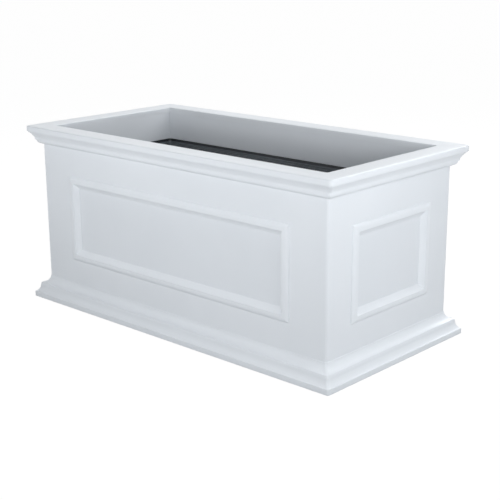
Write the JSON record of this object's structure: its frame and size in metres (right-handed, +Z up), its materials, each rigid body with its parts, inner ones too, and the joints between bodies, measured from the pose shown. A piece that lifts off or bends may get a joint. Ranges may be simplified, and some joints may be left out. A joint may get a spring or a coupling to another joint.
{
  "type": "panelled planter",
  "caption": "Rectangular white planter box with framed panels, a moulded cap rail, a stepped plinth and a black lift-out planting tray.",
  "frame": {"origin": "centre of the planter's footprint, on the ground", "axes": "+X along the long side to the right as seen from the front, +Y from the front to the back, +Z up"},
  "size_m": [0.916, 0.467, 0.418],
  "materials": {
    "wall": "satin white, faintly blue-grey, smooth",
    "moulding": "satin white, smooth moulded face",
    "framing": "plain white, sawn and unpolished",
    "tray": "satin black, moulded",
    "screws": "bright stainless"
  },
  "bodies": {
    "planter": {"wall_front": "wall", "wall_right": "wall", "wall_back": "wall", "wall_left": "wall", "panel_front": "wall", "panel_right": "wall", "panel_back": "wall", "panel_left": "wall", "frame_front_bottom": "moulding", "frame_front_right": "moulding", "frame_front_top": "moulding", "frame_front_left": "moulding", "frame_right_bottom": "moulding", "frame_right_right": "moulding", "frame_right_top": "moulding", "frame_right_left": "moulding", "frame_back_bottom": "moulding", "frame_back_right": "moulding", "frame_back_top": "moulding", "frame_back_left": "moulding", "frame_left_bottom": "moulding", "frame_left_right": "moulding", "frame_left_top": "moulding", "frame_left_left": "moulding", "cap_front": "moulding", "cap_right": "moulding", "cap_back": "moulding", "cap_left": "moulding", "crown_front": "moulding", "crown_right": "moulding", "crown_back": "moulding", "crown_left": "moulding", "base_front": "moulding", "base_right": "moulding", "base_back": "moulding", "base_left": "moulding", "post_front_left": "framing", "post_front_right": "framing", "post_back_right": "framing", "post_back_left": "framing", "ledge_front": "framing", "ledge_right": "framing", "ledge_back": "framing", "ledge_left": "framing", "floor_cleat_front": "framing", "floor_cleat_right": "framing", "floor_cleat_back": "framing", "floor_cleat_left": "framing", "brace_left": "framing", "brace_right": "framing", "floor_bearer_left": "framing", "floor_bearer_right": "framing", "floor_board": "framing", "post_screws": "screws", "ledge_screws": "screws", "floor_cleat_screws": "screws", "floor_screws": "screws", "brace_screws": "screws"},
    "tray": {"insert_tray": "tray"}
  },
  "joints": [
    {"name": "tray_lift", "type": "slide", "parent": "planter", "child": "tray", "axis": [0, 0, 1], "range_m": [0, 0.16]}
  ]
}
